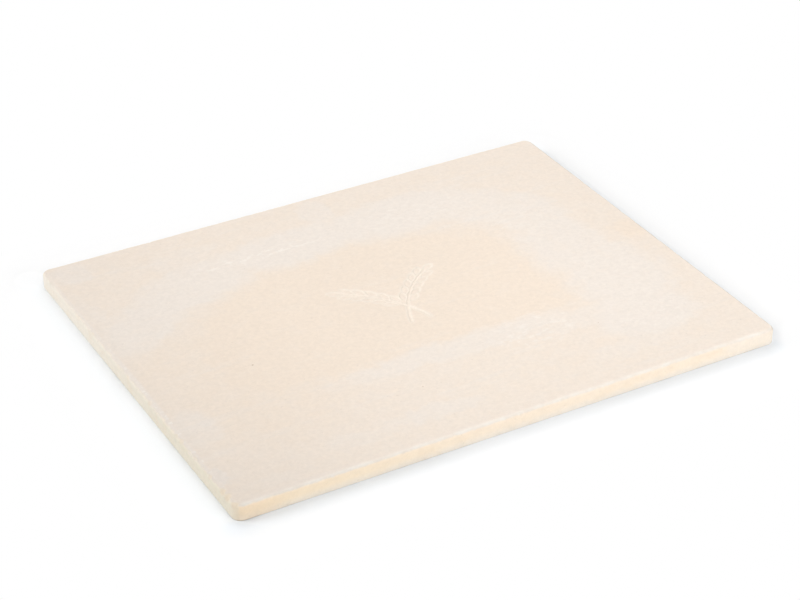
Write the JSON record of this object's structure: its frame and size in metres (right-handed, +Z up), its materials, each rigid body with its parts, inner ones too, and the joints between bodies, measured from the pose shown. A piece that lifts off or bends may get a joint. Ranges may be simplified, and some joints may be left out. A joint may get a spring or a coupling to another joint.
{
  "type": "pizza stone",
  "caption": "Flat rectangular refractory baking stone with rounded corners, eased arrises and a shallow stamped ornament of grain in the middle of its top face.",
  "frame": {"origin": "middle of the flat face that the stone rests on", "axes": "+X along the long side, +Y across the stone, +Z up out of the baking face"},
  "size_m": [0.45, 0.35, 0.0125],
  "materials": {
    "fired_clay": "matte"
  },
  "bodies": {
    "root": {"baking_slab": "fired_clay"}
  },
  "joints": []
}
